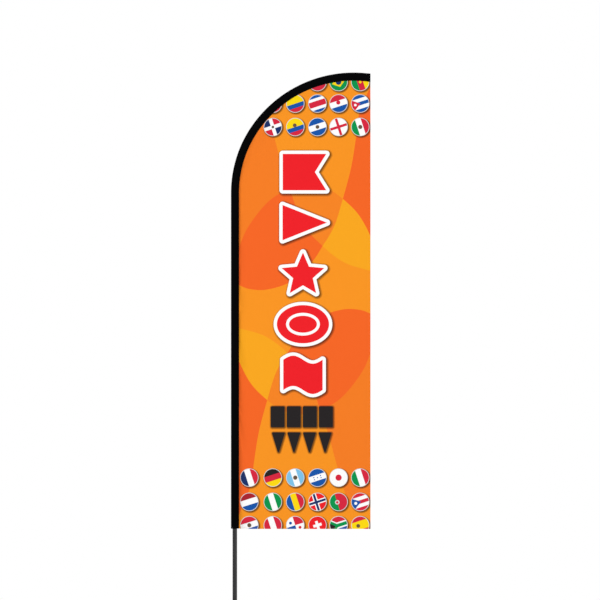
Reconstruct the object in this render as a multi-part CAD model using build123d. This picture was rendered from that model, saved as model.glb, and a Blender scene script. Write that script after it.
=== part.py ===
"""Feather flag: a printed panel with a black pole sleeve, on a three-section pole that turns on a
ball-bearing spindle at the top of a ground spike.

Frame: millimetres, +Z up.  The origin is on the pole's axis at ground level, under the foot bar.
The flag flies towards +X and its printed front faces -Y.  The spike goes down from the origin.
"""
from build123d import *
import os
from math import acos, cos, degrees, pi, radians, sin

# ---- flag outline: the sleeve's outer edge is straight, then bends in two tangent arcs
flag_width = 760.0            # sleeve's outer edge to the fly edge
flag_height = 2486.0          # bottom edge to the crown of the curve
flag_bottom = 760.0           # bottom edge above the ground
lower_bend_radius = 640.0     # outer edge, first arc
lower_bend_turn = 34.0        # degrees
upper_bend_radius = 675.0     # outer edge, second arc
# ---- sleeve and panel
sleeve_width = 44.5
sleeve_wall = 1.0
sleeve_play_mouth = 2.0       # front and back of the base section, where the pole enters
sleeve_play_base = 0.5        # round the base section's ferrule
sleeve_play_mid = 0.8         # round the middle section's ferrule
sleeve_play_rod = 3.0         # round the rod, all the way along the bend
pole_offset = 1.25            # the pole stands this far off the sleeve's middle, outwards
panel_thickness = 1.2
wave_height = 14.0            # how far the bottom edge bellies to each side
wave_length = 480.0
wave_growth = 300.0           # distance from the seam over which the waves reach full height
wave_points = 24              # spans of the curve across the panel
end_patch_thickness = 1.5
past_fly_edge = 0.02          # turn, in radians, that the sleeve runs on before it's cut flush
mouth_hem_wall = 0.8          # the hem turned in at the sleeve's mouth
mouth_hem_height = 14.0
# ---- pole sections
base_diameter = 25.0
base_wall = 1.5
base_length = 1220.0
mid_clearance = 0.2           # radial, middle section in base section
mid_wall = 1.6
mid_insertion = 120.0
depth_collar_height = 12.0
base_ferrule_wall = 1.0
base_ferrule_height = 40.0
mid_ferrule_wall = 0.9
mid_ferrule_height = 40.0
end_ring_wall = 1.5
end_ring_height = 30.0
end_ring_round = 0.6
# ---- flexible tip
adapter_clearance = 0.1       # radial, adapter in middle section
adapter_insertion = 110.0
adapter_flange_height = 10.0
adapter_nose_height = 25.0
adapter_nose_wall = 1.5
rod_diameter = 11.0
rod_tip_diameter = 6.0
rod_socket_depth = 60.0
rod_straight_run = 240.0      # middle section's top to the start of the bend
rod_end_gap = 26.0            # rod's end to the fly edge
cap_wall = 4.0
cap_cover = 16.0              # length of rod inside the cap
cap_nose = 8.0
cap_nose_round = 6.4
cap_rim_round = 1.0
cap_clearance = 0.1
# ---- snap button that locks the middle section into the base section
button_drop = 60.0            # below the base section's top
button_diameter = 7.6
button_hole_clearance = 0.3   # radial
button_stand_out = 1.5        # beyond the base section's surface
button_flange_diameter = 10.0
button_flange_thickness = 1.5
button_flange_gap = 0.3       # flange's corners to the tube's wall
button_spring_width = 6.0
button_spring_thickness = 0.6
button_spring_leg = 46.0
# ---- ground spike
spike_diameter = 16.0
spike_straight = 440.0
spike_point = 60.0
spike_point_flat = 2.0
tenon_shoulder = 1.0          # radial step below the foot bar
tenon_stand_out = 3.0         # above the foot bar, for the weld
foot_length = 180.0
foot_width = 30.0
foot_thickness = 6.0
foot_chamfer = 1.0
weld_leg = 3.0
# ---- spindle and its two ball bearings, 8 x 16 x 5
axle_diameter = 8.0
axle_thread_depth = 20.0      # into the spike, below ground level
axle_hex = 14.0
axle_hex_height = 3.5
axle_neck_step = 1.0          # radial, the neck's shoulder under the lower bearing
axle_neck_height = 2.5
axle_end_above_nut = 3.4
axle_chamfer = 1.0
bearing_section = 4.0         # radial, from the axle to the bearing's outside
bearing_width = 5.0
ball_diameter = 2.3
ball_count = 10
race_gap = 0.8                # each race's wall from the pitch circle
groove_clearance = 0.1
cage_thickness = 0.8
cage_height = 3.2
cage_pocket_clearance = 0.07
bore_clearance = 0.01         # radial, bearing on axle
spacer_length = 115.0
spacer_wall = 1.0
spacer_clearance = 0.1
washer_thickness = 1.6
nut_wall = 2.5                # thread to flat
nut_height = 8.0
spindle_clearance = 0.3       # radial, spindle in base section
spindle_shoulder = 1.0        # step that the outer races seat against
spindle_skirt = 2.0           # below the lower race
spindle_top = 18.0            # above the upper race
retainer_thickness = 1.2
retainer_wall = 1.25
rest_height = 30.0            # pole's lower end above the ground
rest_overhang = 2.0           # radial, beyond the pole's end ring
rest_chamfer = 2.0
grip_section = 1.8
grip_clearance = 0.1          # radial, grip ring in base section
grip_low = 25.0               # above the pole's lower end
grip_spacing = 60.0
grip_count = 2
spindle_cap_plug = 4.0
spindle_cap_clearance = 0.1
spindle_cap_height = 10.0
spindle_cap_round = 7.0

# ---- sizes and places that follow
pole_inset = sleeve_width / 2 - pole_offset
rest_diameter = base_diameter + 2 * (end_ring_wall + rest_overhang)
base_bore = base_diameter - 2 * base_wall
mid_diameter = base_bore - 2 * mid_clearance
mid_bore = mid_diameter - 2 * mid_wall
turn = radians(lower_bend_turn)
fly_edge = flag_width - pole_inset
seam = sleeve_width - pole_inset
bend_start = (flag_bottom + flag_height
              - lower_bend_radius * sin(turn) - upper_bend_radius * (1 - sin(turn)))
lower_centre = (lower_bend_radius - pole_inset, bend_start)
upper_centre = (lower_centre[0] + (upper_bend_radius - lower_bend_radius) * cos(turn),
                lower_centre[1] - (upper_bend_radius - lower_bend_radius) * sin(turn))
base_top = rest_height + base_length
mid_bottom = base_top - mid_insertion
mid_top = bend_start - rod_straight_run
adapter_diameter = mid_bore - 2 * adapter_clearance
adapter_bottom = mid_top - adapter_insertion
adapter_top = mid_top + adapter_flange_height + adapter_nose_height
rod_bottom = mid_top - rod_socket_depth
cap_diameter = rod_tip_diameter + 2 * cap_wall
tenon_diameter = spike_diameter - 2 * tenon_shoulder
axle_neck_diameter = axle_diameter + 2 * axle_neck_step
bearing_outer = axle_diameter + 2 * bearing_section
bearing_pitch = axle_diameter + bearing_section
nut_hex = axle_diameter + 2 * nut_wall
spindle_diameter = base_bore - 2 * spindle_clearance
hex_bottom = foot_thickness + tenon_stand_out
lower_race = hex_bottom + axle_hex_height + axle_neck_height
upper_race = lower_race + bearing_width + spacer_length
nut_bottom = upper_race + bearing_width + washer_thickness
spindle_bottom = lower_race - spindle_skirt
spindle_end = upper_race + bearing_width + spindle_top
button_height = base_top - button_drop


def ring(outer, inner, low, high):
    """A straight ring or tube about Z, from its two diameters."""
    tube = Cylinder(outer / 2, high - low) - Cylinder(inner / 2, high - low)
    return Pos(0, 0, (low + high) / 2) * tube


def hexagon(across_flats, low, high):
    return extrude(Pos(0, 0, low) * RegularPolygon(across_flats / 2, 6, major_radius=False),
                   high - low)


def rims(solid, radius):
    """The circular edges of that radius."""
    return solid.edges().filter_by(lambda e: e.geom_type == GeomType.CIRCLE
                                   and abs(e.radius - radius) < 0.01)


def turn_at(x, inset):
    """How far the outer edge has turned where the line at that inset reaches x."""
    return acos((upper_centre[0] - x) / (upper_bend_radius - inset))


def bend_spans(end):
    """Start, end and centre of each arc of the bend, up to that turn."""
    return ((0, turn, lower_centre), (turn, end, upper_centre))


def bend_point(angle, inset):
    """The point at that inset from the outer edge, where the edge has turned by angle."""
    centre, radius = ((lower_centre, lower_bend_radius) if angle <= turn
                      else (upper_centre, upper_bend_radius))
    return Vector(centre[0] - (radius - inset) * cos(angle), 0,
                  centre[1] + (radius - inset) * sin(angle))


def bend_plane(angle, inset):
    """The plane across the bend at that point, with its x axis towards the bend's centre."""
    return Plane(origin=bend_point(angle, inset), x_dir=(cos(angle), 0, -sin(angle)),
                 z_dir=(sin(angle), 0, cos(angle)))


def bend_arc(start, end, inset):
    """Start, middle and end of one arc of the bend."""
    return [bend_point(start + (end - start) * share, inset) for share in (0, 0.5, 1)]


# ---------------------------------------------------------------- ground spike
def spike_rod():
    """Round bar with a pointed end, and a tenon that takes the foot bar and the axle."""
    r, tenon = spike_diameter / 2, tenon_diameter / 2
    with BuildPart() as rod:
        with BuildSketch(Plane.XZ):
            with BuildLine():
                Polyline((0, -spike_straight - spike_point), (spike_point_flat / 2,
                         -spike_straight - spike_point), (r, -spike_straight), (r, 0), (tenon, 0),
                         (tenon, hex_bottom), (0, hex_bottom), close=True)
            make_face()
        revolve(axis=Axis.Z)
    socket = Pos(0, 0, (hex_bottom - axle_thread_depth) / 2) * Cylinder(
        axle_diameter / 2, hex_bottom + axle_thread_depth)
    return rod.part - socket


def foot_bar():
    """Flat step bar, welded on the tenon, that a foot presses down."""
    outline = Rot(0, 0, 90) * SlotOverall(foot_length, foot_width)
    bar = extrude(outline, foot_thickness)
    bar = chamfer(bar.edges().group_by(Axis.Z)[-1], foot_chamfer)
    return bar - Cylinder(tenon_diameter / 2, 3 * foot_thickness)


def foot_weld():
    """Fillet weld between the tenon and the foot bar's top."""
    r = tenon_diameter / 2
    with BuildPart() as bead:
        with BuildSketch(Plane.XZ):
            with BuildLine():
                Polyline((r, foot_thickness), (r + weld_leg, foot_thickness),
                         (r, foot_thickness + weld_leg), close=True)
            make_face()
        revolve(axis=Axis.Z)
    return bead.part


def axle_pin():
    """Fixed axle: threaded end, hexagon, neck that carries the lower bearing, and journal."""
    low, neck = -axle_thread_depth, hex_bottom + axle_hex_height
    journal = axle_diameter / 2 - bore_clearance
    top = nut_bottom + nut_height + axle_end_above_nut
    pin = Pos(0, 0, (low + hex_bottom) / 2) * Cylinder(axle_diameter / 2, hex_bottom - low)
    pin += hexagon(axle_hex, hex_bottom, neck)
    pin += Pos(0, 0, neck + axle_neck_height / 2) * Cylinder(axle_neck_diameter / 2,
                                                             axle_neck_height)
    pin += Pos(0, 0, (neck + top) / 2) * Cylinder(journal, top - neck)
    return chamfer(pin.edges().group_by(Axis.Z)[-1], axle_chamfer)


def race(inner, outer, low):
    """One bearing race with its ball groove."""
    groove = Pos(0, 0, low + bearing_width / 2) * Torus(bearing_pitch / 2,
                                                        ball_diameter / 2 + groove_clearance)
    return ring(outer, inner, low, low + bearing_width) - groove


def inner_races():
    outer = bearing_pitch - 2 * race_gap
    return [race(axle_diameter, outer, low) for low in (lower_race, upper_race)]


def outer_races():
    inner = bearing_pitch + 2 * race_gap
    return [race(inner, bearing_outer, low) for low in (lower_race, upper_race)]


def bearing_spacer():
    bore = axle_diameter + 2 * spacer_clearance
    return ring(bore + 2 * spacer_wall, bore, lower_race + bearing_width, upper_race)


def axle_washer():
    return ring(axle_neck_diameter, axle_diameter + 2 * spacer_clearance,
                upper_race + bearing_width, nut_bottom)


def lock_nut():
    nut = hexagon(nut_hex, nut_bottom, nut_bottom + nut_height)
    return nut - Pos(0, 0, nut_bottom) * Cylinder(axle_diameter / 2, 3 * nut_height)


# ---------------------------------------------------------------- balls and cages
def ball_places():
    for low in (lower_race, upper_race):
        for i in range(ball_count):
            yield Pos(0, 0, low + bearing_width / 2) * Rot(0, 0, 360 * i / ball_count)


def bearing_balls():
    ball = Pos(bearing_pitch / 2, 0, 0) * Sphere(ball_diameter / 2)
    return [place * ball for place in ball_places()]


def ball_cages():
    pocket = Pos(bearing_pitch / 2, 0, 0) * Rot(0, 90, 0) * Cylinder(
        ball_diameter / 2 + cage_pocket_clearance, 4 * cage_thickness)
    cages = []
    for low in (lower_race, upper_race):
        middle = low + bearing_width / 2
        cage = ring(bearing_pitch + cage_thickness, bearing_pitch - cage_thickness,
                    middle - cage_height / 2, middle + cage_height / 2)
        for i in range(ball_count):
            cage -= Pos(0, 0, middle) * Rot(0, 0, 360 * i / ball_count) * pocket
        cages.append(cage)
    return cages


# ---------------------------------------------------------------- spindle
def grip_heights():
    return [rest_height + grip_low + i * grip_spacing for i in range(grip_count)]


def grip_ring_radius():
    return base_bore / 2 - grip_clearance - grip_section / 2


def spindle_tube():
    """Turning tube over the axle, with a seat for each outer race and grooves for the grip rings."""
    seat_top = lower_race + bearing_width
    tube = ring(spindle_diameter, bearing_outer - 2 * spindle_shoulder, seat_top, upper_race)
    tube += ring(spindle_diameter, bearing_outer, spindle_bottom, seat_top)
    tube += ring(spindle_diameter, bearing_outer, upper_race, spindle_end)
    for height in grip_heights():
        tube -= ring(2 * spindle_diameter, 2 * grip_ring_radius() - grip_section,
                     height - grip_section / 2, height + grip_section / 2)
    return tube


def retaining_rings():
    """Rings that hold the outer races on their seats."""
    inner = bearing_outer - 2 * retainer_wall
    low, high = lower_race, upper_race + bearing_width
    return [ring(bearing_outer, inner, low - retainer_thickness, low),
            ring(bearing_outer, inner, high, high + retainer_thickness)]


def rest_collar():
    """Flange that the pole's lower end stands on."""
    collar = ring(rest_diameter, spindle_diameter, spindle_bottom, rest_height)
    return chamfer(rims(collar, rest_diameter / 2), rest_chamfer)


def grip_rings():
    return [Pos(0, 0, height) * Torus(grip_ring_radius(), grip_section / 2)
            for height in grip_heights()]


def spindle_cap():
    """Rounded plug that closes the spindle and guides the pole on to it."""
    nose = Pos(0, 0, spindle_end + spindle_cap_height / 2) * Cylinder(spindle_diameter / 2,
                                                                      spindle_cap_height)
    nose = fillet(nose.edges().group_by(Axis.Z)[-1], spindle_cap_round)
    plug = Pos(0, 0, spindle_end - spindle_cap_plug / 2) * Cylinder(
        bearing_outer / 2 - spindle_cap_clearance, spindle_cap_plug)
    return nose + plug


# ---------------------------------------------------------------- pole
def button_hole(wall_radius):
    """A radial hole in the -X wall at the snap button's height."""
    drill = Rot(0, 90, 0) * Cylinder(button_diameter / 2 + button_hole_clearance, wall_radius)
    return Pos(-wall_radius, 0, button_height) * drill


def base_section():
    tube = ring(base_diameter, base_bore, rest_height, base_top)
    return tube - button_hole(base_diameter / 2)


def base_end_ring():
    outer = base_diameter + 2 * end_ring_wall
    collar = ring(outer, base_diameter, rest_height, rest_height + end_ring_height)
    return fillet(rims(collar, outer / 2), end_ring_round)


def base_ferrule():
    return ring(base_diameter + 2 * base_ferrule_wall, base_diameter,
                base_top - base_ferrule_height, base_top)


def mid_section():
    tube = ring(mid_diameter, mid_bore, mid_bottom, mid_top)
    return tube - button_hole(mid_diameter / 2)


def depth_collar():
    """Ring bonded on the middle section, which stops on the base section's rim."""
    return ring(base_diameter, mid_diameter, base_top, base_top + depth_collar_height)


def mid_ferrule():
    return ring(mid_diameter + 2 * mid_ferrule_wall, mid_diameter,
                mid_top - mid_ferrule_height, mid_top)


def flange_face():
    """Radius at which the button's inner flange stays clear of the tube's wall."""
    reach = mid_bore / 2 - button_flange_gap
    return (reach ** 2 - (button_flange_diameter / 2) ** 2) ** 0.5


def snap_button():
    """Domed pin with an inner flange, pushed outwards by its spring."""
    face, top = flange_face(), base_diameter / 2 + button_stand_out
    pin = Pos(0, 0, (face + top) / 2) * Cylinder(button_diameter / 2, top - face)
    pin = fillet(pin.edges().group_by(Axis.Z)[-1], button_stand_out)
    pin += Pos(0, 0, face - button_flange_thickness / 2) * Cylinder(
        button_flange_diameter / 2, button_flange_thickness)
    return Pos(0, 0, button_height) * Rot(0, -90, 0) * pin


def button_spring():
    """U-shaped leaf: one leg behind the button's flange, the other on the far wall."""
    half = button_spring_width / 2
    t = button_spring_thickness
    near = -(flange_face() - button_flange_thickness) + t / 2
    far = ((mid_bore / 2) ** 2 - half ** 2) ** 0.5 - t / 2
    top, low = button_height + half, button_height - button_spring_leg
    with BuildPart() as leaf:
        with BuildLine(Plane.XZ) as path:
            Line((near, top), (near, low))
            RadiusArc((near, low), (far, low), -(far - near) / 2)
            Line((far, low), (far, top))
        with BuildSketch(Plane(origin=(near, 0, top), x_dir=(1, 0, 0), z_dir=(0, 0, -1))):
            Rectangle(t, button_spring_width)
        sweep(path=path.wires()[0])
    return leaf.part


# ---------------------------------------------------------------- flexible tip
def tip_adapter():
    """Turned plug that joins the flexible rod to the middle section's top."""
    shoulder = mid_top + adapter_flange_height
    bore = rod_diameter / 2
    with BuildPart() as plug:
        with BuildSketch(Plane.XZ):
            with BuildLine():
                Polyline((0, adapter_bottom), (adapter_diameter / 2, adapter_bottom),
                         (adapter_diameter / 2, mid_top), (mid_diameter / 2, mid_top),
                         (mid_diameter / 2, shoulder), (bore + adapter_nose_wall, adapter_top),
                         (bore, adapter_top), (bore, rod_bottom), (0, rod_bottom), close=True)
            make_face()
        revolve(axis=Axis.Z)
    return plug.part


def rod_end_turn():
    return turn_at(fly_edge - rod_end_gap, pole_inset)


def rod_radius(angle):
    """The rod tapers evenly with the angle turned, from the start of the bend to its end."""
    return (rod_diameter + (rod_tip_diameter - rod_diameter) * angle / rod_end_turn()) / 2


def tip_rod():
    """Solid rod: straight in its adapter, then bent by the sleeve and tapered to its end."""
    rod = Pos(0, 0, (rod_bottom + bend_start) / 2) * Cylinder(rod_diameter / 2,
                                                              bend_start - rod_bottom)
    for start, end, _ in bend_spans(rod_end_turn()):
        with BuildPart() as span:
            with BuildLine() as path:
                ThreePointArc(*bend_arc(start, end, pole_inset))
            for angle in (start, end):
                with BuildSketch(bend_plane(angle, pole_inset)):
                    Circle(rod_radius(angle))
            sweep(path=path.wires()[0], multisection=True)
        rod += span.part
    return rod


def tip_cap():
    """Rubber cap on the rod's end, rounded so that it can't wear through the sleeve."""
    end = rod_end_turn()
    length = cap_cover + cap_nose
    cap = Pos(0, 0, cap_nose - length / 2) * Cylinder(cap_diameter / 2, length)
    cap = fillet(cap.edges().group_by(Axis.Z)[-1], cap_nose_round)
    cap = fillet(cap.edges().group_by(Axis.Z)[0], cap_rim_round)
    bend_sag = cap_cover ** 2 / (2 * upper_bend_radius)
    socket = Cylinder(rod_radius(end) + cap_clearance + bend_sag, cap_cover)
    return bend_plane(end, pole_inset).location * (cap - Pos(0, 0, -cap_cover / 2) * socket)


# ---------------------------------------------------------------- flag
def sleeve_solid(shrink):
    """The sleeve's filled shape, to just past the fly edge, with its section shrunk all round."""
    middle = sleeve_width / 2
    half = middle - shrink
    levels = [(flag_bottom, base_diameter, sleeve_play_mouth),
              (base_top, base_diameter + 2 * base_ferrule_wall, sleeve_play_base),
              (adapter_top, mid_diameter + 2 * mid_ferrule_wall, sleeve_play_mid),
              (bend_start, rod_diameter, sleeve_play_rod)]
    sections = [Pos(pole_offset, 0, z) * Ellipse(half, held / 2 + play + sleeve_wall - shrink)
                for z, held, play in levels]
    solid = Part()
    for pair in zip(sections, sections[1:]):
        solid += loft(Sketch() + list(pair), ruled=True)
    depth = rod_diameter / 2 + sleeve_play_rod + sleeve_wall - shrink
    for start, end, centre in bend_spans(turn_at(fly_edge, sleeve_width) + past_fly_edge):
        section = bend_plane(start, middle) * Ellipse(half, depth)
        spin = Axis((centre[0], 0, centre[1]), (0, 1, 0))
        solid += revolve(section, axis=spin, revolution_arc=degrees(end - start))
    return solid


def slab(shape, axis, low, high):
    """What of a shape lies between two places along X or Z."""
    size = 4 * flag_height
    box = Box(high - low, size, size) if axis == "x" else Box(size, size, high - low)
    place = Pos((low + high) / 2, 0, 0) if axis == "x" else Pos(0, 0, (low + high) / 2)
    return shape & place * box


def pole_sleeve():
    """Hollow fabric sleeve round the pole, open at its mouth and cut flush with the fly edge."""
    return slab(sleeve_solid(0) - sleeve_solid(sleeve_wall), "x", -flag_width, fly_edge)


def mouth_hem():
    """The hem turned in at the sleeve's mouth."""
    lining = sleeve_solid(sleeve_wall) - sleeve_solid(sleeve_wall + mouth_hem_wall)
    return slab(lining, "z", flag_bottom, flag_bottom + mouth_hem_height)


def end_patch():
    """Reinforcement sewn across the sleeve's end at the fly edge."""
    return slab(sleeve_solid(sleeve_wall), "x", fly_edge - end_patch_thickness, fly_edge)


def wave(x):
    """How far the bottom edge stands forward or back at x; none at the seam."""
    growth = min(1.0, max(0.0, x - seam) / wave_growth)
    growth = growth * growth * (3 - 2 * growth)
    return wave_height * growth * sin(2 * pi * (x - seam) / wave_length)


def panel_strip(z, share):
    """The panel's cross-section at height z, with its waves at that share of their height."""
    xs = [seam + (fly_edge - seam) * i / wave_points for i in range(wave_points + 1)]
    with BuildSketch(Plane.XY.offset(z)) as strip:
        with BuildLine():
            front = Spline(*[(x, wave(x) * share - panel_thickness / 2) for x in xs])
            back = Spline(*[(x, wave(x) * share + panel_thickness / 2) for x in xs])
            Line(front @ 0, back @ 0)
            Line(front @ 1, back @ 1)
        make_face()
    return strip.sketch


def panel_outline():
    """The panel's outline along the sleeve's inner edge, thick enough to trim the waved cloth."""
    spans = bend_spans(turn_at(fly_edge, sleeve_width))
    with BuildPart() as outline:
        with BuildSketch(Plane.XZ):
            with BuildLine():
                for start, end, _ in spans:
                    ThreePointArc(*[(p.X, p.Z) for p in bend_arc(start, end, sleeve_width)])
                fly_end = bend_point(spans[-1][1], sleeve_width)
                Polyline((fly_end.X, fly_end.Z), (fly_edge, flag_bottom), (seam, flag_bottom),
                         (seam, bend_start))
            make_face()
        extrude(amount=4 * wave_height, both=True)
    return outline.part


def flag_panel():
    """Printed panel: stretched flat at the top, and in gentle waves towards the bottom."""
    crown = flag_bottom + flag_height
    cloth = loft(Sketch() + [panel_strip(flag_bottom, 1), panel_strip(crown, 0)], ruled=True)
    return cloth & panel_outline()


NODES = [spike_rod, foot_bar, foot_weld, axle_pin, inner_races, bearing_spacer, axle_washer,
         lock_nut, bearing_balls, ball_cages, spindle_tube, outer_races, retaining_rings,
         rest_collar, grip_rings, spindle_cap, base_section, base_end_ring, base_ferrule,
         mid_section, depth_collar, mid_ferrule, snap_button, button_spring, tip_adapter, tip_rod,
         tip_cap, pole_sleeve, mouth_hem, end_patch, flag_panel]


def write_parts():
    os.makedirs("parts", exist_ok=True)
    for make in NODES:
        made = make()
        shape = Compound(children=made) if isinstance(made, list) else made
        export_step(shape, f"parts/{make.__name__}.step")


write_parts()
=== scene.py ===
"""Looks of the feather flag: printed panel, pole sleeve, stitching, metal and rubber finishes.

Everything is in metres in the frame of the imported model.  The artwork is laid out in millimetres
on the panel: u runs from the seam to the fly edge, v runs up from the bottom edge.
"""
from math import acos, atan2, cos, hypot, pi, radians, sin, tau

import bpy
import numpy as np
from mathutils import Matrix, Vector
from mathutils.geometry import delaunay_2d_cdt


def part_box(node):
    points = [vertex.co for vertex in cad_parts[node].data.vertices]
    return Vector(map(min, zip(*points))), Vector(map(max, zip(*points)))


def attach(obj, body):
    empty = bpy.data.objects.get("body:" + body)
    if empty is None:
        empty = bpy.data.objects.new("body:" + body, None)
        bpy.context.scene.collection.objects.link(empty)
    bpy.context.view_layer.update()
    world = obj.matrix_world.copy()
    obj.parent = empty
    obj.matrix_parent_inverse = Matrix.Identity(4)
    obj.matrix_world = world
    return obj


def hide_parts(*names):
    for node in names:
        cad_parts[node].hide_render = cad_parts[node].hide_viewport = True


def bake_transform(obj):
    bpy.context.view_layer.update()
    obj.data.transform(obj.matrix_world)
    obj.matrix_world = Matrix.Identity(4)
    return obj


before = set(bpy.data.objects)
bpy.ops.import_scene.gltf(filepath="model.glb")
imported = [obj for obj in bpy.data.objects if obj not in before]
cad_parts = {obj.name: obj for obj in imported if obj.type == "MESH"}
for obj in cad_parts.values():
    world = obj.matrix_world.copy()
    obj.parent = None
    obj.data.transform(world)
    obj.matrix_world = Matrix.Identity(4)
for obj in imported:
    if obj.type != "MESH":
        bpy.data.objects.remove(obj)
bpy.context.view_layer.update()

MM = 0.001

# ---- outline of the flag, as in the frame
panel_low, panel_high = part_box("flag_panel")
sleeve_low, sleeve_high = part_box("pole_sleeve")
SEAM_X, FLY_X = panel_low.x, panel_high.x
OUTER_X = sleeve_low.x
BOTTOM_Z, CROWN_Z = sleeve_low.z, sleeve_high.z
SLEEVE_WIDTH = SEAM_X - OUTER_X
CURVE_STEP = 9 * MM  # between points of the panel's curved edge
LOWER_RADIUS, UPPER_RADIUS = 0.640, 0.675  # outer edge of the sleeve, two tangent arcs
LOWER_TURN = radians(34)
BEND_Z = CROWN_Z - LOWER_RADIUS * sin(LOWER_TURN) - UPPER_RADIUS * (1 - sin(LOWER_TURN))
STRAIGHT_LENGTH = BEND_Z - BOTTOM_Z
LOWER_CENTRE = (OUTER_X + LOWER_RADIUS, BEND_Z)
UPPER_CENTRE = (LOWER_CENTRE[0] + (UPPER_RADIUS - LOWER_RADIUS) * cos(LOWER_TURN),
                LOWER_CENTRE[1] - (UPPER_RADIUS - LOWER_RADIUS) * sin(LOWER_TURN))

# ---- panel
PANEL_WALL = 0.5 * MM
HEM_WIDTH = 10 * MM  # folded twice, at the fly and bottom edges
HEM_WALL = 1.3 * MM
HEM_STEP = 1 * MM  # the hem's fold slopes down to the single layer over this width
PANEL_TUCK = 4 * MM  # the panel's edge inside the sleeve's seam
WAVE_HEIGHT = 14 * MM  # as in the frame's panel
WAVE_LENGTH = 480 * MM
WAVE_GROWTH = 300 * MM

# ---- sleeve
SLEEVE_WALL = 0.5 * MM
SEAM_FLAT = 5.5 * MM  # width of the flat, sewn zone beside the panel
SEAM_HALF_DEPTH = 0.9 * MM
STITCH_LENGTH, STITCH_PITCH = 2.6 * MM, 3.5 * MM
STITCH_HALF_WIDTH = 0.28 * MM


# ======== meshes
def add_object(name, data):
    thing = bpy.data.objects.new(name, data)
    bpy.context.scene.collection.objects.link(thing)
    return thing


def new_object(name, points, faces, materials, picks=None, smooth=True):
    """A mesh object from points and faces; picks gives each face's material."""
    mesh = bpy.data.meshes.new(name)
    mesh.from_pydata([tuple(p) for p in points], [], faces)
    for material in materials:
        mesh.materials.append(material)
    if picks is not None:
        mesh.polygons.foreach_set("material_index", picks)
    mesh.polygons.foreach_set("use_smooth", [smooth] * len(mesh.polygons))
    mesh.update()
    return add_object(name, mesh)


# ======== lines of the outline
def end_angle(inset):
    """How far the outer edge has turned where the line at that inset reaches the fly edge."""
    return acos((UPPER_CENTRE[0] - FLY_X) / (UPPER_RADIUS - inset))


UPPER_LENGTH = UPPER_RADIUS * (end_angle(0) - LOWER_TURN)


def sleeve_point(station, inset):
    """A point of the sleeve's middle plane: station is (span, share along it)."""
    span, share = station
    if span == 0:
        return OUTER_X + inset, BOTTOM_Z + share * STRAIGHT_LENGTH
    centre, radius, start, end = ((LOWER_CENTRE, LOWER_RADIUS, 0, LOWER_TURN) if span == 1 else
                                  (UPPER_CENTRE, UPPER_RADIUS, LOWER_TURN, end_angle(inset)))
    angle = start + share * (end - start)
    return (centre[0] - (radius - inset) * cos(angle), centre[1] + (radius - inset) * sin(angle))


def stations(step):
    """Places about that far apart along the sleeve, from its mouth to the fly edge."""
    places = [(0, 0.0)]
    for span, length in enumerate((STRAIGHT_LENGTH, LOWER_RADIUS * LOWER_TURN, UPPER_LENGTH)):
        count = max(1, round(length / step))
        places += [(span, (i + 1) / count) for i in range(count)]
    return places


def panel_top(x):
    """Height of the sleeve's inner edge over x; x may be an array."""
    def arc(centre, radius):
        inner = radius - SLEEVE_WIDTH
        return centre[1] + np.sqrt(np.maximum(inner ** 2 - (centre[0] - x) ** 2, 0))
    join = LOWER_CENTRE[0] - (LOWER_RADIUS - SLEEVE_WIDTH) * cos(LOWER_TURN)
    return np.where(x < join, arc(LOWER_CENTRE, LOWER_RADIUS), arc(UPPER_CENTRE, UPPER_RADIUS))


# ======== colours and materials
def linear(rgb):
    """Linear colour of an 8-bit screen colour."""
    shares = [c / 255 for c in rgb]
    return [s / 12.92 if s <= 0.04045 else ((s + 0.055) / 1.055) ** 2.4 for s in shares] + [1]


def new_material(name, colour, rough, metal=0.0, specular=0.5, coat=0.0, sheen=0.0):
    """A material with its Principled shader set; returns it with its node tree and shader."""
    material = bpy.data.materials.new(name)
    material.use_nodes = True
    tree = material.node_tree
    shader = tree.nodes["Principled BSDF"]
    for socket, value in (("Base Color", colour), ("Roughness", rough), ("Metallic", metal),
                          ("Specular IOR Level", specular), ("Coat Weight", coat),
                          ("Sheen Weight", sheen)):
        shader.inputs[socket].default_value = value
    return material, tree, shader


def feed(tree, value, socket):
    """Give an input its value, or link it where the value is another node's output."""
    if isinstance(value, bpy.types.NodeSocket):
        tree.links.new(value, socket)
    else:
        socket.default_value = value


def add_node(tree, kind, **values):
    """A node of that kind; values set its properties, or else its inputs."""
    node = tree.nodes.new("ShaderNode" + kind)
    for name, value in values.items():
        if hasattr(node, name):
            setattr(node, name, value)
        else:
            feed(tree, value, node.inputs[name.replace("_", " ")])
    return node


def calculated(tree, operation, *values):
    node = add_node(tree, "Math", operation=operation)
    for value, socket in zip(values, node.inputs):
        feed(tree, value, socket)
    return node.outputs[0]


def grain(tree, scale, stretch=(1, 1, 1), detail=4.0):
    """Noise over the object's own coordinates, drawn out along an axis by stretch."""
    place = add_node(tree, "TexCoord").outputs["Object"]
    turned = add_node(tree, "Mapping", Vector=place, Scale=stretch).outputs["Vector"]
    return add_node(tree, "TexNoise", Vector=turned, Scale=scale, Detail=detail).outputs["Fac"]


def spread(tree, source, low, high, start=0.3, end=0.7):
    """Source, from start to end, spread over low to high."""
    return add_node(tree, "MapRange", Value=source, From_Min=start, From_Max=end, To_Min=low,
                    To_Max=high).outputs["Result"]


def blend_colours(tree, factor, first, second):
    """Colour that goes from first to second with the factor."""
    mix = add_node(tree, "Mix", data_type="RGBA", Factor=factor)
    sockets = {s.identifier: s for s in mix.inputs}
    feed(tree, first, sockets["A_Color"])
    feed(tree, second, sockets["B_Color"])
    return next(s for s in mix.outputs if s.identifier == "Result_Color")


def bump(tree, height, strength, distance, **under):
    """Normal of a bumpy surface; Normal= gives the one that it lies on."""
    return add_node(tree, "Bump", Height=height, Strength=strength, Distance=distance,
                    **under).outputs["Normal"]


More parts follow.
